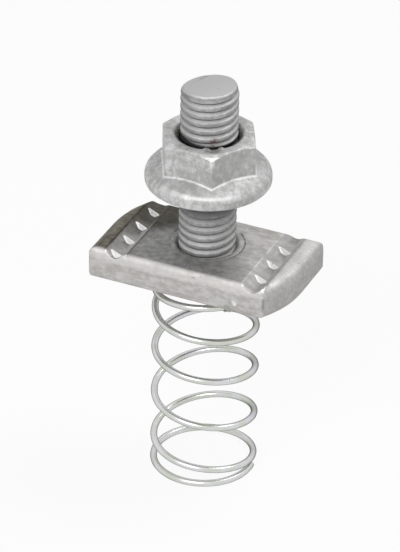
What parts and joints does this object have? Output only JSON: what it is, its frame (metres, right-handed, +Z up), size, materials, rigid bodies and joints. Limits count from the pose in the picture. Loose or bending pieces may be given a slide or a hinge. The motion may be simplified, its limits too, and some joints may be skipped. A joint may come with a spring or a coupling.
{
  "type": "channel nut with stud",
  "caption": "Toothed plate with a threaded stud, hexagon flange nut and holding spring, for clamping a bracket to a slotted channel.",
  "frame": {"origin": "middle of the spring's foot, on the surface that the part stands on", "axes": "+Z up the stud, +X along the plate, +Y along the channel, away from the picture's viewer"},
  "size_m": [0.0362, 0.0218, 0.0758],
  "materials": {
    "galvanised_plate": "matte hot-dip galvanised steel, mottled grey",
    "galvanised_stud": "matte hot-dip galvanised steel thread",
    "galvanised_nut": "matte hot-dip galvanised steel, mottled pale grey",
    "bright_wire": "bright zinc-plated spring wire"
  },
  "bodies": {
    "spring": {"coil_spring": "bright_wire"},
    "stud_plate": {"toothed_plate": "galvanised_plate", "threaded_stud": "galvanised_stud"},
    "nut": {"flange_nut": "galvanised_nut"}
  },
  "joints": [
    {"name": "spring_press", "type": "slide", "parent": "spring", "child": "stud_plate", "axis": [0, 0, -1], "range_m": [0, 0.029], "stiffness_N_per_m": 945, "springref_m": -0.001, "deforming": ["coil_spring"]},
    {"name": "nut_turn", "type": "hinge", "parent": "stud_plate", "child": "nut", "pos_m": [0, 0, 0.0618], "axis": [0, 0, 1], "continuous": true}
  ]
}
